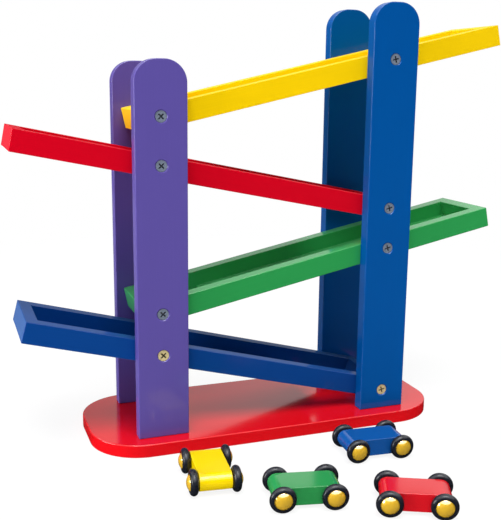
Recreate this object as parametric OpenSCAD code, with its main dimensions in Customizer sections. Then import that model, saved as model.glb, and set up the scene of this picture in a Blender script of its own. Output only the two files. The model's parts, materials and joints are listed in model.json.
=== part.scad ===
// Click clack track: four coloured ramps between two pairs of uprights on a base
// board, with four wooden cars that fall from ramp to ramp. The origin is the centre
// of the base board's underside, +X points to the tall uprights, -Y to the front.

/* [Base board] */
// Length of the base board
base_length = 268; // [230:1:330]
// Depth of the base board, front to back
base_depth = 103; // [96:1:140]
// Thickness of the base board
base_thickness = 9.4; // [8:0.1:16]
// Radius of the base board's corners, seen from above
base_corner_radius = 37; // [8:1:45]

/* [Uprights] */
// Width of an upright
upright_width = 36; // [28:1:44]
// Thickness of an upright
upright_thickness = 9.4; // [8:0.1:12]
// Distance between the middles of the left and the right uprights
upright_spacing = 172; // [150:1:190]
// Height of the left, purple uprights above the floor
purple_height = 269; // [262:1:300]
// Height of the right, blue uprights above the floor
blue_height = 311; // [300:1:340]
// Radius of the rounded shoulders at the top of an upright
shoulder_radius = 15.4; // [6:0.2:17.8]

/* [Ramps] */
// Length of a ramp
ramp_length = 282; // [266:1:300]
// Width of a ramp over both rails, which is also the space between the uprights
ramp_width = 62; // [60:1:80]
// Height of a rail
rail_height = 15; // [13:0.5:18]
// Thickness of a rail
rail_thickness = 10.2; // [8:0.2:11]
// Thickness of the floor strip between the rails
floor_thickness = 4; // [2.5:0.1:6]
// Length of the block that closes each end of a ramp
end_block_length = 9; // [6:0.5:14]
// Length of the opening in the floor that a car drops through
drop_gap = 44; // [36:1:60]

/* [Ramp places] */
// Height of the yellow ramp's rail tops at its middle
yellow_ramp_height = 267; // [262:1:275]
// Tilt of the yellow ramp in degrees
yellow_ramp_tilt = 12.95; // [9:0.05:15]
// Distance of the yellow ramp's middle from the middle of the toy
yellow_ramp_offset = 39.5; // [34:0.5:46]
// Height of the red ramp's rail tops at its middle
red_ramp_height = 196.7; // [190:0.1:202]
// Tilt of the red ramp in degrees
red_ramp_tilt = 11.5; // [9:0.05:15]
// Distance of the red ramp's middle from the middle of the toy
red_ramp_offset = 41.5; // [34:0.5:46]
// Height of the green ramp's rail tops at its middle
green_ramp_height = 131; // [125:0.5:137]
// Tilt of the green ramp in degrees
green_ramp_tilt = 12; // [9:0.05:15]
// Distance of the green ramp's middle from the middle of the toy
green_ramp_offset = 39.5; // [34:0.5:46]
// Height of the blue ramp's rail tops at its middle
blue_ramp_height = 62.9; // [61.5:0.1:70]
// Tilt of the blue ramp in degrees
blue_ramp_tilt = 14.6; // [9:0.05:15]
// Distance of the blue ramp's middle from the middle of the toy
blue_ramp_offset = 40; // [34:0.5:46]

/* [Screws] */
// Diameter of a screw's shank
screw_diameter = 3.9; // [3:0.1:4.5]
// Diameter of a countersunk head
screw_head_diameter = 7.8; // [6:0.1:9]
// Height of a countersunk head
screw_head_height = 2.6; // [2:0.1:3.5]
// Length of a screw that holds a ramp
ramp_screw_length = 18; // [14:0.5:18.5]
// Length of a screw that holds an upright on the base board
base_screw_length = 30; // [22:1:40]
// Distance between the two base screws of one upright
base_screw_spacing = 18; // [12:1:22]
// Distance of the ramp screws below the rail tops, square to the ramp
ramp_screw_drop = 6; // [5:0.1:8]
// Depth of a ramp screw's head below the face of the upright
screw_sink = 0.5; // [0.1:0.1:0.8]
// Depth of a base screw's head below the underside of the base board
base_screw_sink = 0.8; // [0.5:0.1:1.2]
// Length of one slot of the cross recess
recess_length = 4.8; // [3:0.1:5]
// Width of one slot of the cross recess
recess_width = 1; // [0.6:0.1:1.2]
// Depth of the cross recess
recess_depth = 1.6; // [1:0.1:2]
// Turn of the cross recesses on the left uprights in degrees
left_recess_turn = 45; // [0:1:89]
// Turn of the cross recesses on the right uprights in degrees
right_recess_turn = 15; // [0:1:89]

/* [Cars] */
// Distance between a car's axles
wheelbase = 32.4; // [26:0.2:36]
// Thickness of a car's body, which is also the diameter of its round ends
car_body_thickness = 11.8; // [8:0.2:13]
// Width of a car's body
car_body_width = 21.2; // [16:0.2:22.4]
// Diameter of a wheel
wheel_diameter = 16.9; // [15.9:0.1:19]
// Width of a wheel, and the diameter of its round tread
wheel_width = 5.2; // [4:0.1:5.4]
// Distance between the side of the body and a wheel
wheel_gap = 0.6; // [0.5:0.1:1]
// Diameter of the hub boss on the inner side of a wheel
hub_boss_diameter = 6; // [4:0.2:8]
// Side play between the hub boss and the body
hub_boss_play = 0.3; // [0.2:0.05:0.4]
// Diameter of an axle
axle_diameter = 2.5; // [2:0.1:3.2]
// Diameter of a domed hub cap
hub_cap_diameter = 11.4; // [8:0.1:11.4]
// Height of a hub cap's dome above the wheel
hub_cap_bulge = 1.9; // [1.2:0.1:2]
// Depth of the seat in the wheel that holds the rim of the hub cap
hub_cap_seat = 0.7; // [0.4:0.1:1]

/* [Car places] */
// Place of the yellow car's middle along the toy
yellow_car_across = -70.8; // [-80:0.2:-66]
// Distance of the yellow car's middle ahead of the base board's front edge
yellow_car_ahead = 47.2; // [42:0.1:50]
// Heading of the yellow car in degrees from the toy's length
yellow_car_heading = 263.4; // [258:0.2:270]
// Place of the green car's middle along the toy
green_car_across = -23; // [-24:0.5:-20]
// Distance of the green car's middle ahead of the base board's front edge
green_car_ahead = 91.2; // [88:0.1:98]
// Heading of the green car in degrees from the toy's length
green_car_heading = -12; // [-14:0.2:-9]
// Place of the red car's middle along the toy
red_car_across = 37.4; // [37:0.1:60]
// Distance of the red car's middle ahead of the base board's front edge
red_car_ahead = 121.3; // [118:0.1:130]
// Heading of the red car in degrees from the toy's length
red_car_heading = -25.6; // [-30:0.2:-20]
// Place of the blue car's middle along the toy
blue_car_across = 50.4; // [46:0.2:80]
// Distance of the blue car's middle ahead of the base board's front edge
blue_car_ahead = 41.5; // [38:0.1:46]
// Heading of the blue car in degrees from the toy's length
blue_car_heading = -4.2; // [-8:0.2:2]

/* [Hidden] */
$fn = 64;

// Clearance all round a shank, an axle and a screw head in its hole
fit_clearance = 0.05;
// Length that a cut runs past the face it opens
overrun = 1;
// Length of the pointed end of a screw as a share of its shank diameter
screw_tip_share = 0.8;
// Thickness of the rim of a countersunk head as a share of its height
screw_rim_share = 0.12;
// Free depth beyond a screw's tip
screw_tip_room = 0.3;

left = -1;
right = 1;
front = -1;
back = 1;

half_spacing = upright_spacing / 2;
inner_face = ramp_width / 2;
upright_middle = inner_face + upright_thickness / 2;
channel_width = ramp_width - 2 * rail_thickness;
hole_diameter = screw_diameter + 2 * fit_clearance;
axle_bore = axle_diameter + 2 * fit_clearance;
wheel_radius = wheel_diameter / 2;
wheel_inner_face = car_body_width / 2 + wheel_gap;
wheel_outer_face = wheel_inner_face + wheel_width;
cap_top = wheel_outer_face + hub_cap_bulge;
cap_foot = wheel_outer_face - hub_cap_seat;
axle_end = wheel_outer_face + hub_cap_bulge / 2;

purple = [0.36, 0.31, 0.63];
deep_blue = [0.05, 0.31, 0.63];
yellow = [0.97, 0.82, 0.02];
red = [0.83, 0.06, 0.12];
green = [0.18, 0.6, 0.3];
zinc = "silver";
brass = [0.9, 0.7, 0.25];
steel = "lightgray";
black = [0.1, 0.11, 0.13];

// A ramp is its colour, the height and the offset of its middle, its tilt and the side it runs down to
yellow_ramp = [yellow, yellow_ramp_height, yellow_ramp_offset, yellow_ramp_tilt, left];
red_ramp = [red, red_ramp_height, red_ramp_offset, red_ramp_tilt, right];
green_ramp = [green, green_ramp_height, green_ramp_offset, green_ramp_tilt, left];
blue_ramp = [deep_blue, blue_ramp_height, blue_ramp_offset, blue_ramp_tilt, right];

// A car is its colour, its place along the toy, its place ahead of the base and its heading
yellow_car = [yellow, yellow_car_across, yellow_car_ahead, yellow_car_heading];
green_car = [green, green_car_across, green_car_ahead, green_car_heading];
red_car = [red, red_car_across, red_car_ahead, red_car_heading];
blue_car = [deep_blue, blue_car_across, blue_car_ahead, blue_car_heading];

function colour_of(thing) = thing[0];
function ramp_height(ramp) = ramp[1];
function ramp_offset(ramp) = ramp[2];
function ramp_tilt(ramp) = ramp[3];
function ramp_side(ramp) = ramp[4];
function ramp_middle(ramp) = -ramp_side(ramp) * ramp_offset(ramp);

// Height of a ramp's screw axis where it passes the upright on the given side
function ramp_screw_height(ramp, side) =
    ramp_height(ramp)
    - ramp_screw_drop / cos(ramp_tilt(ramp))
    - ramp_side(ramp) * tan(ramp_tilt(ramp)) * (side * half_spacing - ramp_middle(ramp));

// Place of a ramp's screw along the ramp, from its middle
function ramp_screw_run(ramp, side) =
    (side * half_spacing - ramp_middle(ramp)) / cos(ramp_tilt(ramp))
    + ramp_side(ramp) * ramp_screw_drop * tan(ramp_tilt(ramp));

// Outline of the base board, seen from above
module base_outline() {
    straight_length = base_length - 2 * base_corner_radius;
    straight_depth = base_depth - 2 * base_corner_radius;
    square([straight_length, base_depth], center = true);
    square([base_length, straight_depth], center = true);
    for (x = [left, right], y = [front, back]) {
        translate([x * straight_length / 2, y * straight_depth / 2])
            circle(r = base_corner_radius);
    }
}

// Outline of an upright from its foot up, with two rounded shoulders
module upright_outline(height) {
    shoulder_line = height - shoulder_radius;
    shoulder_middle = upright_width / 2 - shoulder_radius;
    translate([-upright_width / 2, 0])
        square([upright_width, shoulder_line]);
    translate([-shoulder_middle, 0])
        square([2 * shoulder_middle, height]);
    for (x = [left, right]) {
        translate([x * shoulder_middle, shoulder_line])
            circle(r = shoulder_radius);
    }
}

// Countersunk screw along -Z with the top of its head at the origin
module screw(length) {
    rim = screw_head_height * screw_rim_share;
    tip = screw_diameter * screw_tip_share;
    difference() {
        union() {
            translate([0, 0, -rim])
                cylinder(h = rim, d = screw_head_diameter);
            translate([0, 0, -screw_head_height])
                cylinder(h = screw_head_height - rim, d1 = screw_diameter, d2 = screw_head_diameter);
            translate([0, 0, tip - length])
                cylinder(h = length - tip - screw_head_height, d = screw_diameter);
            translate([0, 0, -length])
                cylinder(h = tip, d1 = 0, d2 = screw_diameter);
        }
        for (turn = [0, 90]) {
            rotate([0, 0, turn])
                translate([-recess_length / 2, -recess_width / 2, -recess_depth])
                    cube([recess_length, recess_width, recess_depth + overrun]);
        }
    }
}

// Hole for the head and shank of a screw along -Z: its cone runs on past the head's rim to the face
module countersink(depth, sink) {
    rim = screw_head_height * screw_rim_share;
    cone_height = screw_head_height - rim;
    cone_flare = screw_head_diameter + 2 * fit_clearance - hole_diameter;
    full_height = screw_head_height + sink + overrun;
    translate([0, 0, -screw_head_height])
        cylinder(
            h = full_height,
            d1 = hole_diameter,
            d2 = hole_diameter + cone_flare * full_height / cone_height
        );
    translate([0, 0, -depth])
        cylinder(h = depth, d = hole_diameter);
}

// Puts a screw or its hole at the front or back face of an upright, pointing inwards
module at_ramp_screw(ramp, side, face) {
    face_place = face * (inner_face + upright_thickness - screw_sink);
    translate([side * half_spacing, face_place, ramp_screw_height(ramp, side)])
        rotate([-face * 90, 0, 0])
            children();
}

// Puts a screw or its hole at the underside of the base board, pointing up
module at_base_screws(side, face) {
    for (x = [left, right]) {
        translate([side * half_spacing + x * base_screw_spacing / 2, face * upright_middle, base_screw_sink])
            rotate([180, 0, 0])
                children();
    }
}

module base_board() {
    color(red)
        difference() {
            linear_extrude(height = base_thickness)
                base_outline();
            for (side = [left, right], face = [front, back]) {
                at_base_screws(side, face)
                    countersink(base_thickness + overrun, base_screw_sink);
            }
        }
}

module upright(side, face, height, colour) {
    color(colour)
        difference() {
            translate([side * half_spacing, face * upright_middle + upright_thickness / 2, base_thickness])
                rotate([90, 0, 0])
                    linear_extrude(height = upright_thickness)
                        upright_outline(height - base_thickness);
            for (ramp = [yellow_ramp, red_ramp, green_ramp, blue_ramp]) {
                at_ramp_screw(ramp, side, face)
                    countersink(upright_thickness + overrun, screw_sink);
            }
            at_base_screws(side, face)
                countersink(base_screw_length + screw_tip_room, base_screw_sink);
        }
}

// Puts a piece on a ramp: its own x runs along the ramp, z = 0 is the rail tops
module on_ramp(ramp) {
    translate([ramp_middle(ramp), 0, ramp_height(ramp)])
        rotate([0, ramp_side(ramp) * ramp_tilt(ramp), 0])
            children();
}

module ramp_rail(ramp, face) {
    rail_middle = face * (inner_face - rail_thickness / 2);
    pilot_depth = ramp_screw_length + screw_sink + screw_tip_room - upright_thickness;
    color(colour_of(ramp))
        on_ramp(ramp)
            difference() {
                translate([-ramp_length / 2, rail_middle - rail_thickness / 2, -rail_height])
                    cube([ramp_length, rail_thickness, rail_height]);
                for (side = [left, right]) {
                    translate([ramp_screw_run(ramp, side), face * (inner_face + overrun), -ramp_screw_drop])
                        rotate([face * 90, 0, 0])
                            cylinder(h = pilot_depth + overrun, d = hole_diameter);
                }
            }
}

module ramp_floor(ramp) {
    low = ramp_side(ramp);
    floor_length = ramp_length - 2 * end_block_length - drop_gap;
    floor_middle = -low * drop_gap / 2;
    color(colour_of(ramp))
        on_ramp(ramp)
            translate([floor_middle - floor_length / 2, -channel_width / 2, -rail_height])
                cube([floor_length, channel_width, floor_thickness]);
}

// End block at the low end (end = 1) or at the high end (end = -1) of a ramp
module ramp_block(ramp, end) {
    block_middle = end * ramp_side(ramp) * (ramp_length - end_block_length) / 2;
    color(colour_of(ramp))
        on_ramp(ramp)
            translate([block_middle - end_block_length / 2, -channel_width / 2, -rail_height])
                cube([end_block_length, channel_width, rail_height]);
}

module ramp_screws(ramps, face, colour) {
    color(colour)
        for (ramp = ramps, side = [left, right]) {
            turn = side == left ? left_recess_turn : right_recess_turn;
            at_ramp_screw(ramp, side, face)
                rotate([0, 0, turn])
                    screw(ramp_screw_length);
        }
}

module lowest_brass_screws() {
    for (face = [front, back]) {
        ramp_screws([blue_ramp], face, brass);
    }
}

module base_screws() {
    color(zinc)
        for (side = [left, right], face = [front, back]) {
            at_base_screws(side, face)
                screw(base_screw_length);
        }
}

// Puts a piece on a car: its own x points forward, z = 0 is the floor
module on_car(car) {
    translate([car[1], -base_depth / 2 - car[2], 0])
        rotate([0, 0, car[3]])
            children();
}

// Puts a piece at one of a car's axles: its own z runs along the axle
module on_axle(end) {
    translate([end * wheelbase / 2, 0, wheel_radius])
        rotate([90, 0, 0])
            children();
}

module car_body(car) {
    color(colour_of(car))
        on_car(car)
            difference() {
                union() {
                    translate([-wheelbase / 2, -car_body_width / 2, wheel_radius - car_body_thickness / 2])
                        cube([wheelbase, car_body_width, car_body_thickness]);
                    for (end = [front, back]) {
                        on_axle(end)
                            cylinder(h = car_body_width, d = car_body_thickness, center = true);
                    }
                }
                for (end = [front, back]) {
                    on_axle(end)
                        cylinder(h = car_body_width + 2 * overrun, d = axle_bore, center = true);
                }
            }
}

module axle(car, end) {
    color(steel)
        on_car(car)
            on_axle(end)
                cylinder(h = 2 * axle_end, d = axle_diameter, center = true);
}

// One wheel, turned about Z, between its inner and its outer face
module wheel() {
    tread = wheel_width / 2;
    tread_middle = wheel_radius - tread;
    boss_foot = car_body_width / 2 + hub_boss_play;
    seat_radius = hub_cap_diameter / 2 + fit_clearance;
    rotate_extrude()
        difference() {
            union() {
                translate([0, wheel_inner_face])
                    square([tread_middle, wheel_width]);
                translate([tread_middle, wheel_inner_face + tread])
                    circle(r = tread);
                translate([0, boss_foot])
                    square([hub_boss_diameter / 2, wheel_width / 2]);
            }
            translate([-overrun, wheel_outer_face - hub_cap_seat])
                square([overrun + seat_radius, hub_cap_seat + overrun]);
            translate([-wheel_width, boss_foot - overrun])
                square([wheel_width + axle_bore / 2, 2 * overrun + wheel_width + wheel_gap]);
        }
}

module wheels(car, end) {
    color(black)
        on_car(car)
            on_axle(end)
                for (turn = [0, 180]) {
                    rotate([turn, 0, 0])
                        wheel();
                }
}

// One domed cap, turned about Z: a part of a sphere that stands in its seat
module hub_cap() {
    foot_radius = hub_cap_diameter / 2;
    rise = cap_top - cap_foot;
    dome_radius = (foot_radius * foot_radius + rise * rise) / (2 * rise);
    difference() {
        intersection() {
            translate([0, 0, cap_top - dome_radius])
                sphere(r = dome_radius);
            translate([0, 0, cap_foot])
                cylinder(h = rise + overrun, r = foot_radius + overrun);
        }
        translate([0, 0, cap_foot - overrun])
            cylinder(h = axle_end - cap_foot + overrun + fit_clearance, d = axle_bore);
    }
}

module hub_caps(car, end) {
    color(brass)
        on_car(car)
            on_axle(end)
                for (turn = [0, 180]) {
                    rotate([turn, 0, 0])
                        hub_cap();
                }
}

base_board();
upright(left, front, purple_height, purple);  // purple_front_upright
upright(left, back, purple_height, purple);  // purple_back_upright
upright(right, front, blue_height, deep_blue);  // blue_front_upright
upright(right, back, blue_height, deep_blue);  // blue_back_upright
ramp_rail(yellow_ramp, front);  // yellow_ramp_front_rail
ramp_rail(yellow_ramp, back);  // yellow_ramp_back_rail
ramp_floor(yellow_ramp);  // yellow_ramp_floor
ramp_block(yellow_ramp, -1);  // yellow_ramp_upper_block
ramp_block(yellow_ramp, 1);  // yellow_ramp_lower_block
ramp_rail(red_ramp, front);  // red_ramp_front_rail
ramp_rail(red_ramp, back);  // red_ramp_back_rail
ramp_floor(red_ramp);  // red_ramp_floor
ramp_block(red_ramp, -1);  // red_ramp_upper_block
ramp_block(red_ramp, 1);  // red_ramp_lower_block
ramp_rail(green_ramp, front);  // green_ramp_front_rail
ramp_rail(green_ramp, back);  // green_ramp_back_rail
ramp_floor(green_ramp);  // green_ramp_floor
ramp_block(green_ramp, -1);  // green_ramp_upper_block
ramp_block(green_ramp, 1);  // green_ramp_lower_block
ramp_rail(blue_ramp, front);  // blue_ramp_front_rail
ramp_rail(blue_ramp, back);  // blue_ramp_back_rail
ramp_floor(blue_ramp);  // blue_ramp_floor
ramp_block(blue_ramp, -1);  // blue_ramp_upper_block
ramp_block(blue_ramp, 1);  // blue_ramp_lower_block
ramp_screws([yellow_ramp, red_ramp, green_ramp], front, zinc);  // front_zinc_screws
ramp_screws([yellow_ramp, red_ramp, green_ramp], back, zinc);  // back_zinc_screws
lowest_brass_screws();
base_screws();
car_body(yellow_car);  // yellow_car_body
axle(yellow_car, 1);  // yellow_car_front_axle
axle(yellow_car, -1);  // yellow_car_rear_axle
wheels(yellow_car, 1);  // yellow_car_front_wheels
wheels(yellow_car, -1);  // yellow_car_rear_wheels
hub_caps(yellow_car, 1);  // yellow_car_front_hub_caps
hub_caps(yellow_car, -1);  // yellow_car_rear_hub_caps
car_body(green_car);  // green_car_body
axle(green_car, 1);  // green_car_front_axle
axle(green_car, -1);  // green_car_rear_axle
wheels(green_car, 1);  // green_car_front_wheels
wheels(green_car, -1);  // green_car_rear_wheels
hub_caps(green_car, 1);  // green_car_front_hub_caps
hub_caps(green_car, -1);  // green_car_rear_hub_caps
car_body(red_car);  // red_car_body
axle(red_car, 1);  // red_car_front_axle
axle(red_car, -1);  // red_car_rear_axle
wheels(red_car, 1);  // red_car_front_wheels
wheels(red_car, -1);  // red_car_rear_wheels
hub_caps(red_car, 1);  // red_car_front_hub_caps
hub_caps(red_car, -1);  // red_car_rear_hub_caps
car_body(blue_car);  // blue_car_body
axle(blue_car, 1);  // blue_car_front_axle
axle(blue_car, -1);  // blue_car_rear_axle
wheels(blue_car, 1);  // blue_car_front_wheels
wheels(blue_car, -1);  // blue_car_rear_wheels
hub_caps(blue_car, 1);  // blue_car_front_hub_caps
hub_caps(blue_car, -1);  // blue_car_rear_hub_caps
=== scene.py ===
import json
from math import cos, radians, sin

import bmesh
import bpy
from mathutils import Matrix, Vector


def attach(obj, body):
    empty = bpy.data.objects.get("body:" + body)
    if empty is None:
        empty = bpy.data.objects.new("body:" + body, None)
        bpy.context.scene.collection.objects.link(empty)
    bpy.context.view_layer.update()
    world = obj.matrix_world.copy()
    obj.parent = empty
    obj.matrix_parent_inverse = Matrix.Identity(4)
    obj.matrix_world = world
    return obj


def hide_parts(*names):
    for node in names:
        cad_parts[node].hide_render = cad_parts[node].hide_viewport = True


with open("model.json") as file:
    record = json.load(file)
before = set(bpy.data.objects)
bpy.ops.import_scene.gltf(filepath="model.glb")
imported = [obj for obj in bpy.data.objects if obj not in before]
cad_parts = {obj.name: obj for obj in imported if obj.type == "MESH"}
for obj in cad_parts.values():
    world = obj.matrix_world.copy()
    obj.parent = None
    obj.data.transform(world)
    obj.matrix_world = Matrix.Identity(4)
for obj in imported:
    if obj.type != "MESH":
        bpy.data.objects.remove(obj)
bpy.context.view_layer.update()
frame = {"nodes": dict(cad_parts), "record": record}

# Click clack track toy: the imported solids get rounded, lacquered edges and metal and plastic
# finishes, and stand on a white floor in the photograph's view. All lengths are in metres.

record = frame["record"]
body_of = {n: body for body, nodes in record["behaviour"]["bodies"].items() for n in nodes}
joint_axis = {j["name"]: Vector(j["axis"]) for j in record["behaviour"]["joints"]}

MILLIMETRE = 0.001
X, Y, Z = Vector((1, 0, 0)), Vector((0, 1, 0)), Vector((0, 0, 1))

# Radii of the sanded and lacquered edges
BASE_EDGE = 0.9 * MILLIMETRE
UPRIGHT_EDGE = 0.7 * MILLIMETRE
RAMP_EDGE = 0.6 * MILLIMETRE
FLOOR_EDGE = 0.5 * MILLIMETRE
CAR_EDGE = 0.4 * MILLIMETRE
EDGE_SEGMENTS = 4
# A bevel with this profile is a quarter of a circle
ROUND_PROFILE = 0.5
# A loop of sharp edges that is smaller than this is the rim of a hole and stays sharp
HOLE_SIZE = 20 * MILLIMETRE
# Two corners closer than this are one
TOUCH = 0.002 * MILLIMETRE
# A corner closer to a plane than this lies on it
ON_PLANE = 5 * TOUCH
# Length over which a rounded edge ends beside a flush neighbour
EDGE_STOP = 0.05 * MILLIMETRE
# Faces that meet at less than the first angle are one flat side, and those that meet at more than
# the second have a sharp edge between them. Rounded pieces are shaded smoothly up to the third.
FLAT_ANGLE, SHARP_ANGLE, SMOOTH_ANGLE = radians(0.2), radians(30), radians(35)

# Colours of the finishes, as the photograph shows them, in sRGB from 0 to 255
BASE_RED = (221, 10, 22)
PURPLE = (92, 79, 158)
BLUE = (0, 81, 157)
RAMP_RED = (208, 0, 28)
RAMP_BLUE = (0, 61, 135)
YELLOW = (248, 206, 0)
GREEN = (40, 154, 77)
CAR_YELLOW = (248, 214, 0)
CAR_GREEN = (44, 146, 76)
CAR_RED = (210, 16, 30)
CAR_BLUE = (18, 83, 158)
BLACK = (24, 27, 36)
BRASS = (245, 195, 44)
SCREW_BRASS = (220, 204, 152)
ZINC = (124, 136, 154)
STEEL = (190, 192, 196)

# A pattern goes from nothing to full between two values of its noise, which is from 0 to 1. Spots
# that cover less have a pair of their own.
NOISE_SPAN = (0.3, 0.7)

# How strongly the clear coats mirror the room. On the ramps it is a pair, with the strength of the
# haze in the ramp's own colour that shows at low angles.
COAT = 0.9
UPRIGHT_COAT = {"purple": 0.6, "blue": 0.5}
RAMP_COAT_AND_HAZE = {
    "yellow": (0.2, 0.15),
    "red": (0.2, 0.1),
    "green": (0.8, 0.15),
    "blue": (0.35, 0.2),
}
COAT_IOR, COAT_ROUGHNESS = 1.5, 0.13
# The haze's roughness, and the white in its colour
HAZE_ROUGHNESS, HAZE_WHITE = 0.5, 0.35
# Lacquer: length along the grain and width of the streaks, the clouds in the film, the ripples of
# its surface and the rubbed spots of its edges
STREAK_SIZE = (60 * MILLIMETRE, 0.9 * MILLIMETRE)
CLOUD_SIZE = (45 * MILLIMETRE, 16 * MILLIMETRE)
RIPPLE_SIZE = (1.6 * MILLIMETRE, 1.3 * MILLIMETRE)
RUBBED_SIZE = (7 * MILLIMETRE, 7 * MILLIMETRE)
# Brightness of streaks and clouds as shares of the paint's own, and how far the clouds show
DARK_STREAK, PALE_STREAK, CLOUD_SHADE = 0.98, 1.02, 0.93
CLOUD_STRENGTH = 0.35
# How far edges go towards a paler colour between and in the rubbed spots, and the white in it
RUBBED_SPAN, RUBBED_STRENGTH = (0.35, 0.75), (0.02, 0.15)
RUBBED_WHITE = 0.12
# Roughness from thin to cloudy film, the share of the ripples in the surface's relief, of which the
# rest is grain, and the relief's height and strength
FILM_ROUGHNESS = (0.45, 0.6)
RIPPLE_SHARE = 0.4
FILM_RELIEF, FILM_BUMP = 0.004 * MILLIMETRE, 0.5

# Metal: duller patches, with how far their tarnish shows and how much rougher they are, and
# scratches, with the height and strength of their relief
PATCH_SIZE = (3 * MILLIMETRE, 3 * MILLIMETRE)
PATCH_SPAN, PATCH_STRENGTH, PATCH_ROUGHNESS = (0.4, 0.7), 0.6, 0.12
SCRATCH_SIZE = (3 * MILLIMETRE, 0.5 * MILLIMETRE)
SCRATCH_RELIEF, SCRATCH_BUMP = 0.01 * MILLIMETRE, 0.4
METAL_COAT_ROUGHNESS = 0.05
# How metallic the plated pieces are: they show more of their own colour than bare metal does
PLATED = 0.2
ZINC_ROUGHNESS = 0.42
# The depths below a screw's face between which its recess turns dark, as painted shade
RECESS_SHADE_START, RECESS_SHADE_DEPTH = 0.045 * MILLIMETRE, 0.15 * MILLIMETRE

# Black plastic: its brightness between the scuffs and in them as shares of its colour's own, its
# roughness between and in them, and a fine relief
SCUFF_SIZE = (1.8 * MILLIMETRE, 1.8 * MILLIMETRE)
SCUFF_SPAN, DARK_BLACK, PALE_BLACK = (0.35, 0.75), 0.8, 1.25
DULL_SPAN, BLACK_ROUGHNESS = (0.35, 0.7), (0.24, 0.38)
BLACK_SPECULAR = 0.35
FINE_SIZE = (0.25 * MILLIMETRE, 0.25 * MILLIMETRE)
FINE_RELIEF, FINE_BUMP = 0.005 * MILLIMETRE, 0.4

# Name, place, target, side lengths and power in watts of each lamp
LAMPS = [
    ("key softbox", (-0.35, -1.64, 4.05), (0, 0, 0.1), (2.4, 2.4), 185),
    ("back softbox", (-0.2, 1.3, 2.7), (0, 0, 0.1), (2.0, 2.0), 14),
    ("left softbox", (-1.3, -0.1, 0.3), (0, 0, 0.15), (0.7, 0.5), 13),
]
# The world's light depends on where a direction points. Its parts are from -1 to 1: x to the right,
# y to the back and z upwards. A pair that ends in SPAN is two values of one of them, between which
# the light changes. The plain light comes from all sides and is stronger from below.
AMBIENT_BELOW, AMBIENT, BELOW_SPAN = 1.0, 0.33, (-0.5, -0.3)
# Reflections show a dark room in front of the object, and a wall behind it. The wall is given by
# pairs of a height z and the brightness there, and by the share of it that shows at either side.
SEEN_AHEAD, AHEAD_SPAN = 0.02, (-0.2, 0.4)
SEEN_WALL = [(0.0, 0.4), (0.17, 0.6), (0.34, 1.0), (0.42, 1.0), (0.45, 1.3)]
WALL_SIDES, WALL_SPAN = (0.3, 1.15), (-0.2, 0.5)
# They show a ceiling too, darker straight overhead. It starts at a height z in front and another at
# the back, and is full so far above it.
SEEN_CEILING, SEEN_OVERHEAD, OVERHEAD_SPAN = 3.0, 0.8, (0.8, 0.96)
CEILING_START, CEILING_START_SPAN, CEILING_FADE = (0.42, 0.5), (-0.4, 0.1), 0.15

FLOOR_RADIUS, FLOOR_SEGMENTS = 1.4, 96
# The floor's own light near the object, and the share of the lamps' light that it adds, in which the
# shadow shows. Between two distances from the middle it turns into plain white.
FLOOR_GLOW, FLOOR_SHADE = 0.88, 0.12
WHITE_SPAN = (0.35, 0.8)
# The floor's brightness in reflections, which it reaches between two distances behind the middle
SEEN_FLOOR, SEEN_FLOOR_SPAN = 0.3, (0.0, 0.25)
# The share of the lamps' light that the floor throws back at the object
FLOOR_BOUNCE = 0.7
# The floor lies this far below the base, and is open under the base apart from a rim this wide
FLOOR_DROP = 0.02 * MILLIMETRE
FLOOR_RIM = 1.5 * MILLIMETRE


def linear(colour):
    """A colour from 0 to 255 as linear red, green and blue from 0 to 1, by the sRGB formula."""
    def channel(value):
        share = value / 255
        return share / 12.92 if share <= 0.04045 else ((share + 0.055) / 1.055) ** 2.4
    return [channel(v) for v in colour]


def opaque(channels):
    """Linear red, green and blue as the colour that a shader takes."""
    return (*channels, 1.0)


def shaded(colour, factor):
    return opaque(min(1.0, c * factor) for c in linear(colour))


def grey(brightness):
    return opaque([brightness] * 3)


class Nodes:
    """Short calls that add shader nodes to the node tree of a material or of the world."""

    def __init__(self, tree):
        self.tree = tree

    def put(self, socket, value):
        if isinstance(value, bpy.types.NodeSocket):
            self.tree.links.new(value, socket)
        else:
            socket.default_value = value

    def node(self, kind, inputs=(), **settings):
        made = self.tree.nodes.new(f"ShaderNode{kind}")
        for name, value in settings.items():
            setattr(made, name, value)
        for key, value in dict(inputs).items():
            self.put(made.inputs[key], value)
        return made

    def maths(self, operation, a, b):
        return self.node("Math", {0: a, 1: b}, operation=operation).outputs["Value"]

    def vector_maths(self, operation, a, b=(0, 0, 0)):
        return self.node("VectorMath", {0: a, 1: b}, operation=operation).outputs

    def spread(self, value, span, to=(0.0, 1.0), **settings):
        """The value taken from its span to the other pair, and held at the ends of that pair."""
        inputs = {"Value": value, "From Min": span[0], "From Max": span[1]}
        inputs.update({"To Min": to[0], "To Max": to[1]})
        return self.node("MapRange", inputs, **settings).outputs["Result"]

    # A Mix node has sockets of the same names for each kind of data, so they go by their numbers
    def mix_values(self, factor, a, b):
        return self.node("Mix", {0: factor, 2: a, 3: b}).outputs[0]

    def mix_colours(self, factor, a, b):
        return self.node("Mix", {0: factor, 6: a, 7: b}, data_type="RGBA").outputs[2]


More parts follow.
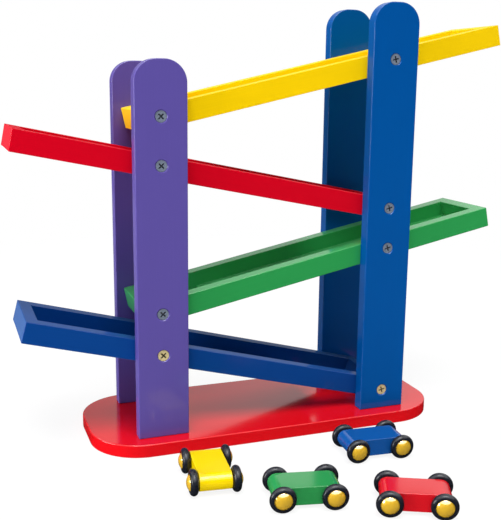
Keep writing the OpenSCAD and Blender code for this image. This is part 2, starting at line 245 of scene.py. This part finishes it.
class Shader(Nodes):
    """A material with one Principled BSDF, and the patterns in front of it."""

    def __init__(self, name):
        self.material = bpy.data.materials.new(name)
        self.material.use_nodes = True
        super().__init__(self.material.node_tree)
        self.bsdf = self.tree.nodes["Principled BSDF"]

    def finish(self, **sockets):
        for name, value in sockets.items():
            self.put(self.bsdf.inputs[name.replace("_", " ")], value)
        return self.material

    def coordinates(self, rows):
        """Object coordinates turned so that their x runs along the first of the three rows."""
        place = self.node("TexCoord").outputs["Object"]
        turn = Matrix(rows).to_euler()
        return self.node("Mapping", {"Vector": place, "Rotation": turn}).outputs["Vector"]

    def noise(self, place, size, detail=3.0, roughness=0.5, distortion=0.0):
        """Noise from 0 to 1 with features of a length along x and a width along y and z."""
        length, width = size
        scale = (1 / length, 1 / width, 1 / width)
        scaled = self.node("Mapping", {"Vector": place, "Scale": scale}).outputs["Vector"]
        inputs = {"Vector": scaled, "Scale": 1.0, "Detail": detail, "Roughness": roughness,
                  "Distortion": distortion}
        return self.node("TexNoise", inputs).outputs["Fac"]

    def bump(self, height, depth, strength):
        inputs = {"Height": height, "Distance": depth, "Strength": strength}
        return self.node("Bump", inputs).outputs["Normal"]


def lacquer(name, colour, rows, coat=COAT, haze=0.0):
    """Gloss lacquer over wood: faint streaks along the grain, cloudy film thickness, worn edges."""
    s = Shader(name)
    place = s.coordinates(rows)
    grain = s.noise(place, STREAK_SIZE, detail=4.0, roughness=0.6, distortion=0.3)
    cloud = s.noise(place, CLOUD_SIZE)
    ripples = s.noise(place, RIPPLE_SIZE, detail=2.0)
    dark, bright = shaded(colour, DARK_STREAK), shaded(colour, PALE_STREAK)
    streaks = s.mix_colours(s.spread(grain, NOISE_SPAN), dark, bright)
    cloudiness = s.spread(cloud, NOISE_SPAN, (0.0, CLOUD_STRENGTH))
    clouded = s.mix_colours(cloudiness, streaks, shaded(colour, CLOUD_SHADE))
    wear = s.node("Attribute", attribute_name="wear").outputs["Fac"]
    rubbed = s.spread(s.noise(place, RUBBED_SIZE), RUBBED_SPAN, RUBBED_STRENGTH)
    worn = s.maths("MULTIPLY", wear, rubbed)
    lighter = opaque((1 - RUBBED_WHITE) * c + RUBBED_WHITE for c in linear(colour))
    grain_height = s.maths("MULTIPLY", grain, 1 - RIPPLE_SHARE)
    height = s.maths("ADD", grain_height, s.maths("MULTIPLY", ripples, RIPPLE_SHARE))
    roots = [c ** 0.5 for c in linear(colour)]
    pale = opaque((1 - HAZE_WHITE) * root / max(roots) + HAZE_WHITE for root in roots)
    return s.finish(
        Base_Color=s.mix_colours(worn, clouded, lighter),
        Roughness=s.spread(cloud, NOISE_SPAN, FILM_ROUGHNESS),
        Specular_IOR_Level=0.0,
        Coat_Weight=coat,
        Coat_Roughness=COAT_ROUGHNESS,
        Coat_IOR=COAT_IOR,
        Sheen_Weight=haze,
        Sheen_Roughness=HAZE_ROUGHNESS,
        Sheen_Tint=pale,
        Normal=s.bump(height, FILM_RELIEF, FILM_BUMP),
    )


def recess_shade_mask(s):
    """1 in the cross recesses of the ramp screws, where shade is painted; their faces are on a front and
    a back plane.
    """
    face = max(v.co.y for v in frame["nodes"]["back_zinc_screws"].data.vertices)
    place = s.node("TexCoord").outputs["Object"]
    across = s.node("SeparateXYZ", {0: place}).outputs["Y"]
    distance = s.maths("ABSOLUTE", across, 0.0)
    return s.spread(distance, (face - RECESS_SHADE_START, face - RECESS_SHADE_DEPTH))


def metal(name, colour, rough, metallic=1.0, tarnish=0.75, coat_ior=None, recess_shade=None):
    """Metal with small scratches and slightly duller patches, and optionally shade painted into screw
    recesses.

    Tarnish and the recess shade are the brightness of the patches and of the shade painted into the
    ramp screws' recesses, as shares of the colour's own.
    """
    s = Shader(name)
    place = s.coordinates((X, Y, Z))
    patches = s.noise(place, PATCH_SIZE, detail=4.0)
    scratches = s.noise(place, SCRATCH_SIZE, roughness=0.6)
    dullness = s.spread(patches, PATCH_SPAN, (0.0, PATCH_STRENGTH))
    toned = s.mix_colours(dullness, opaque(linear(colour)), shaded(colour, tarnish))
    # Painted shade: the screws' cross recesses turn darker with depth below the face
    if recess_shade is not None:
        toned = s.mix_colours(recess_shade_mask(s), toned, shaded(colour, recess_shade))
    return s.finish(
        Base_Color=toned,
        Metallic=metallic,
        Roughness=s.spread(patches, NOISE_SPAN, (rough, rough + PATCH_ROUGHNESS)),
        Coat_Weight=float(coat_ior is not None),
        Coat_IOR=coat_ior or COAT_IOR,
        Coat_Roughness=METAL_COAT_ROUGHNESS,
        Normal=s.bump(scratches, SCRATCH_RELIEF, SCRATCH_BUMP),
    )


def gloss_black(name):
    """Moulded black plastic with a soft sheen and a dull bloom of fine scuffs."""
    s = Shader(name)
    place = s.coordinates((X, Y, Z))
    scuffs = s.noise(place, SCUFF_SIZE, detail=4.0, roughness=0.55)
    fine = s.noise(place, FINE_SIZE, detail=2.0)
    dark, pale = shaded(BLACK, DARK_BLACK), shaded(BLACK, PALE_BLACK)
    return s.finish(
        Base_Color=s.mix_colours(s.spread(scuffs, SCUFF_SPAN), dark, pale),
        Roughness=s.spread(scuffs, DULL_SPAN, BLACK_ROUGHNESS),
        Specular_IOR_Level=BLACK_SPECULAR,
        Normal=s.bump(fine, FINE_RELIEF, FINE_BUMP),
    )


def solid_of(node):
    """A CAD node's mesh as a bmesh with one corner per place and one face per flat side."""
    bm = bmesh.new()
    bm.from_mesh(frame["nodes"][node].data)
    bmesh.ops.remove_doubles(bm, verts=bm.verts, dist=TOUCH)
    bmesh.ops.dissolve_limit(bm, angle_limit=FLAT_ANGLE, verts=bm.verts, edges=bm.edges)
    return bm


def span(bm, axis):
    """The lowest and the highest place of a bmesh along an axis."""
    places = [v.co.dot(axis) for v in bm.verts]
    return min(places), max(places)


def sharp_edges(bm):
    return [e for e in bm.edges if len(e.link_faces) == 2 and e.calc_face_angle() > SHARP_ANGLE]


def outline_edges(bm):
    """Sharp edges, apart from those in small loops, which are the rims of holes."""
    left = set(sharp_edges(bm))
    kept = []
    while left:
        loop, queue = [], [left.pop()]
        while queue:
            edge = queue.pop()
            loop.append(edge)
            for near in {e for v in edge.verts for e in v.link_edges} & left:
                left.remove(near)
                queue.append(near)
        places = [v.co for e in loop for v in e.verts]
        size = max(max(p[i] for p in places) - min(p[i] for p in places) for i in range(3))
        if size > HOLE_SIZE:
            kept += loop
    return kept


def add_to_scene(name, data):
    made = bpy.data.objects.new(name, data)
    bpy.context.scene.collection.objects.link(made)
    return made


def dress(node, bm, edges, radius, material):
    """Rounds the edges and makes the piece that stands for the CAD node."""
    rounded = bmesh.ops.bevel(bm, geom=edges, affect="EDGES", offset=radius, offset_type="OFFSET",
                              profile=ROUND_PROFILE, segments=EDGE_SEGMENTS, clamp_overlap=True)
    strip = set(rounded["faces"])
    wear = bm.verts.layers.float.new("wear")
    for v in bm.verts:
        v[wear] = float(all(f in strip for f in v.link_faces))
    mesh = bpy.data.meshes.new(f"{node}_lacquered")
    bm.to_mesh(mesh)
    bm.free()
    if "custom_normal" in mesh.attributes:
        mesh.attributes.remove(mesh.attributes["custom_normal"])
    mesh.materials.append(material)
    mesh.shade_smooth()
    mesh.set_sharp_from_angle(angle=SMOOTH_ANGLE)
    piece = add_to_scene(mesh.name, mesh)
    piece.modifiers.new("flat sides", "WEIGHTED_NORMAL").keep_sharp = True
    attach(piece, body_of[node])
    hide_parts(node)


def dress_board(node, radius, material):
    bm = solid_of(node)
    dress(node, bm, outline_edges(bm), radius, material)


def refinish(node, material):
    """Gives a CAD node that keeps its shape another material."""
    mesh = frame["nodes"][node].data
    mesh.materials.clear()
    mesh.materials.append(material)


class Ramp:
    """A tilted ramp's own axes and extents, and which of its pieces' edges are on its outside."""

    def __init__(self, colour):
        self.prefix = f"{colour}_ramp"
        bm = solid_of(f"{self.prefix}_front_rail")
        longest = max(bm.edges, key=lambda e: e.calc_length())
        run = (longest.verts[0].co - longest.verts[1].co).normalized()
        self.along = run if run.x > 0 else -run
        self.up = (-Y).cross(self.along)
        self.ends = span(bm, self.along)
        self.bottom, self.top = span(bm, self.up)
        bm.free()

    def edges_on(self, bm, pairs):
        """Edges that lie on both planes of a pair. A plane is an axis and a place along it."""
        def on(edge, plane):
            axis, place = plane
            return all(abs(v.co.dot(axis) - place) < ON_PLANE for v in edge.verts)
        return [e for e in sharp_edges(bm) if any(on(e, a) and on(e, b) for a, b in pairs)]

    def cut(self, bm, place):
        """Adds a line of corners all round a piece, square to the ramp."""
        everything = bm.verts[:] + bm.edges[:] + bm.faces[:]
        bmesh.ops.bisect_plane(bm, geom=everything, dist=TOUCH, plane_co=self.along * place,
                               plane_no=self.along)

    def dress_rail(self, face, block_length, material):
        """Rounds a rail's outside, and its inner top edge where no end block stands beside it."""
        node = f"{self.prefix}_{face}_rail"
        bm = solid_of(node)
        first, last = self.ends[0] + block_length, self.ends[1] - block_length
        for place in (first, last, first - EDGE_STOP, last + EDGE_STOP):
            self.cut(bm, place)
        near, far = span(bm, Y)
        outer, inner = (near, far) if face == "front" else (far, near)
        above, below, outside = (self.up, self.top), (self.up, self.bottom), (Y, outer)
        pairs = [(above, outside), (below, outside)]
        for end in self.ends:
            pairs += [((self.along, end), side) for side in (above, below, outside)]

        def between_blocks(edge):
            places = [v.co.dot(self.along) for v in edge.verts]
            return first - TOUCH < min(places) and max(places) < last + TOUCH

        inner_rim = self.edges_on(bm, [(above, (Y, inner))])
        edges = self.edges_on(bm, pairs) + [e for e in inner_rim if between_blocks(e)]
        dress(node, bm, edges, RAMP_EDGE, material)

    def dress_block(self, end, material):
        """Rounds an end block's edges between the rails, and gives its length along the ramp."""
        node = f"{self.prefix}_{end}_block"
        bm = solid_of(node)
        low, high = span(bm, self.along)
        outside, inside = (low, high) if abs(low - self.ends[0]) < ON_PLANE else (high, low)
        above, below, end_face = (self.up, self.top), (self.up, self.bottom), (self.along, outside)
        pairs = [(end_face, above), (end_face, below), ((self.along, inside), above)]
        dress(node, bm, self.edges_on(bm, pairs), RAMP_EDGE, material)
        return high - low

    def dress_floor(self, material):
        """Rounds the floor's end at the drop gap, which is the one farther from the ramp's end."""
        node = f"{self.prefix}_floor"
        bm = solid_of(node)
        low, high = span(bm, self.along)
        bottom, top = span(bm, self.up)
        free = low if low - self.ends[0] > self.ends[1] - high else high
        pairs = [((self.along, free), (self.up, height)) for height in (bottom, top)]
        dress(node, bm, self.edges_on(bm, pairs), FLOOR_EDGE, material)


def dress_ramp(colour, paint):
    ramp = Ramp(colour)
    gloss = RAMP_COAT_AND_HAZE[colour]
    lengthwise = lacquer(f"{colour}_ramp_lacquer", paint, (ramp.along, Y, ramp.up), *gloss)
    crosswise = lacquer(f"{colour}_ramp_end_lacquer", paint, (Y, ramp.along, ramp.up), *gloss)
    for end in ("upper", "lower"):
        block_length = ramp.dress_block(end, crosswise)
    for face in ("front", "back"):
        ramp.dress_rail(face, block_length, lengthwise)
    ramp.dress_floor(lengthwise)


def dress_car(colour, paint, wheel_finish, cap_finish, axle_finish):
    ahead = joint_axis[f"{colour}_car_roll"]
    finish = lacquer(f"{colour}_car_lacquer", paint, (ahead, Z.cross(ahead), Z))
    dress_board(f"{colour}_car_body", CAR_EDGE, finish)
    for end in ("front", "rear"):
        refinish(f"{colour}_car_{end}_axle", axle_finish)
        refinish(f"{colour}_car_{end}_wheels", wheel_finish)
        refinish(f"{colour}_car_{end}_hub_caps", cap_finish)


dress_board("base_board", BASE_EDGE, lacquer("base_lacquer", BASE_RED, (X, Y, Z)))
for colour, paint in (("purple", PURPLE), ("blue", BLUE)):
    finish = lacquer(f"{colour}_upright_lacquer", paint, (Z, X, Y), UPRIGHT_COAT[colour])
    for face in ("front", "back"):
        dress_board(f"{colour}_{face}_upright", UPRIGHT_EDGE, finish)
for colour, paint in (("yellow", YELLOW), ("red", RAMP_RED), ("green", GREEN), ("blue", RAMP_BLUE)):
    dress_ramp(colour, paint)

# The ramp screws get shade painted into their cross recesses
zinc_finish = metal("zinc_plate", ZINC, ZINC_ROUGHNESS, PLATED, recess_shade=0.4)
for node in ("front_zinc_screws", "back_zinc_screws"):
    refinish(node, zinc_finish)
refinish("base_screws", metal("zinc_plate_below", ZINC, ZINC_ROUGHNESS, PLATED))
# These screws get shade painted into their cross recesses too
passivated = metal("yellow_passivated_steel", SCREW_BRASS, rough=0.4, metallic=PLATED, recess_shade=0.2)
refinish("lowest_brass_screws", passivated)
wheel_finish = gloss_black("black_plastic")
cap_finish = metal("polished_brass", BRASS, rough=0.3, metallic=PLATED, tarnish=0.9, coat_ior=2.5)
axle_finish = metal("bright_steel", STEEL, rough=0.25)
for colour, paint in (("yellow", CAR_YELLOW), ("green", CAR_GREEN), ("red", CAR_RED), ("blue", CAR_BLUE)):
    dress_car(colour, paint, wheel_finish, cap_finish, axle_finish)


def add_camera():
    """The photograph's camera, solved from straight edges and corners of the stand.

    The yaw, pitch and roll are in radians.
    """
    place = Vector((-0.22472, -0.58745, 0.25343))
    yaw, pitch, roll = 0.3535, 0.2045, 0.0106
    focal_pixels, longer_side = 849.57, 520
    ahead = Vector((sin(yaw) * cos(pitch), cos(yaw) * cos(pitch), -sin(pitch)))
    level = Vector((cos(yaw), -sin(yaw), 0))
    upright = level.cross(ahead)
    right = cos(roll) * level + sin(roll) * upright
    up = cos(roll) * upright - sin(roll) * level
    data = bpy.data.cameras.new("camera")
    data.lens = data.sensor_width * focal_pixels / longer_side
    data.clip_start, data.clip_end = 0.01, 50
    camera = add_to_scene("camera", data)
    camera.matrix_world = Matrix.Translation(place) @ Matrix((right, up, -ahead)).transposed().to_4x4()
    bpy.context.scene.camera = camera


def add_lamp(name, place, target, size, power):
    data = bpy.data.lights.new(name, "AREA")
    data.shape = "RECTANGLE"
    data.size, data.size_y = size
    data.energy = power
    lamp = add_to_scene(name, data)
    lamp.location = place
    lamp.rotation_euler = (Vector(target) - Vector(place)).to_track_quat("-Z", "Y").to_euler()


def wall_brightness(s, height):
    """The wall's brightness at a height, worked out between the pairs of SEEN_WALL."""
    brightest = max(brightness for _, brightness in SEEN_WALL)
    gradient = s.node("ValToRGB", {"Fac": height})
    stops = gradient.color_ramp.elements
    while len(stops) < len(SEEN_WALL):
        stops.new(position=0.5)
    for stop, (place, brightness) in zip(stops, SEEN_WALL):
        stop.position = place
        stop.color = grey(brightness / brightest)
    return s.maths("MULTIPLY", gradient.outputs["Color"], brightest)


def add_world():
    """White for the camera, the plain light on dull surfaces, and the room in reflections."""
    world = bpy.data.worlds.new("studio")
    bpy.context.scene.world = world
    world.use_nodes = True
    s = Nodes(world.node_tree)

    def fade(value, span, to):
        return s.spread(value, span, to, interpolation_type="SMOOTHSTEP")

    path = s.node("LightPath").outputs
    direction = s.node("TexCoord").outputs["Generated"]
    parts = s.node("SeparateXYZ", {0: direction}).outputs
    lit = wall_brightness(s, parts["Z"])
    wall = s.maths("MULTIPLY", lit, fade(parts["X"], WALL_SPAN, WALL_SIDES))
    side = fade(parts["Y"], AHEAD_SPAN, (SEEN_AHEAD, wall))
    ceiling = fade(parts["Z"], OVERHEAD_SPAN, (SEEN_CEILING, SEEN_OVERHEAD))
    above = s.maths("SUBTRACT", parts["Z"], fade(parts["Y"], CEILING_START_SPAN, CEILING_START))
    room = fade(above, (0.0, CEILING_FADE), (side, ceiling))
    plain = fade(parts["Z"], BELOW_SPAN, (AMBIENT_BELOW, AMBIENT))
    mirrored = s.mix_values(path["Is Glossy Ray"], plain, room)
    shown = s.mix_values(path["Is Camera Ray"], mirrored, 1.0)
    background = s.tree.nodes["Background"].inputs
    s.put(background["Strength"], shown)
    s.put(background["Color"], grey(1.0))


def under_base(s, place):
    """1 where the base board covers the floor, apart from the board's rim.

    The board's outline lies at the radius of its corners all round a smaller rectangle, the core.
    """
    corners_of_base = [v.co for v in frame["nodes"]["base_board"].data.vertices]
    half_length, half_depth = (max(c[i] for c in corners_of_base) for i in range(2))
    flat_end = max(c.y for c in corners_of_base if c.x > half_length - TOUCH)
    radius = half_depth - flat_end
    core = Vector((half_length - radius, half_depth - radius, 0))
    apart = s.vector_maths("ABSOLUTE", place)["Vector"]
    past = s.vector_maths("SUBTRACT", apart, core)["Vector"]
    outside = s.vector_maths("MAXIMUM", past)["Vector"]
    distance = s.vector_maths("LENGTH", outside)["Value"]
    return s.maths("LESS_THAN", distance, radius - FLOOR_RIM)


def floor_light(s, place, rays):
    """White with a soft shadow for the camera, and a plain dull surface for the light on it.

    In reflections the floor is dark in front of the object and paler behind it.
    """
    def glowing(strength):
        return s.node("Emission", {"Strength": strength}).outputs["Emission"]

    def dull(brightness):
        return s.node("BsdfDiffuse", {"Color": grey(brightness)}).outputs["BSDF"]

    def either(factor, first, second):
        return s.node("MixShader", {0: factor, 1: first, 2: second}).outputs["Shader"]

    distance = s.vector_maths("LENGTH", place)["Value"]
    near = s.node("AddShader", {0: glowing(FLOOR_GLOW), 1: dull(FLOOR_SHADE)}).outputs["Shader"]
    shown = either(s.spread(distance, WHITE_SPAN), near, glowing(1.0))
    behind = s.node("SeparateXYZ", {0: place}).outputs["Y"]
    mirrored = glowing(s.spread(behind, SEEN_FLOOR_SPAN, (SEEN_AHEAD, SEEN_FLOOR)))
    unseen = either(rays["Is Glossy Ray"], dull(FLOOR_BOUNCE), mirrored)
    both = either(rays["Is Camera Ray"], unseen, shown)
    from_below = s.maths("MULTIPLY", s.node("NewGeometry").outputs["Backfacing"], rays["Is Camera Ray"])
    open_part = s.maths("MAXIMUM", from_below, under_base(s, place))
    return either(open_part, both, s.node("BsdfTransparent").outputs["BSDF"])


def add_floor():
    """A round white floor whose own light fades in towards its rim, so that its edge isn't seen.

    It is open under the base board, and unseen from below, so that the underside can be looked at.
    """
    bm = bmesh.new()
    bmesh.ops.create_circle(bm, cap_ends=True, radius=FLOOR_RADIUS, segments=FLOOR_SEGMENTS)
    mesh = bpy.data.meshes.new("floor")
    bm.to_mesh(mesh)
    bm.free()
    floor = add_to_scene("floor", mesh)
    floor.location = -FLOOR_DROP * Z
    s = Shader("white_floor")
    s.tree.nodes.remove(s.bsdf)
    place = s.node("TexCoord").outputs["Object"]
    rays = s.node("LightPath").outputs
    s.put(s.tree.nodes["Material Output"].inputs["Surface"], floor_light(s, place, rays))
    mesh.materials.append(s.material)


add_camera()
add_world()
add_floor()
for lamp in LAMPS:
    add_lamp(*lamp)

bpy.context.scene.view_settings.view_transform = "Standard"
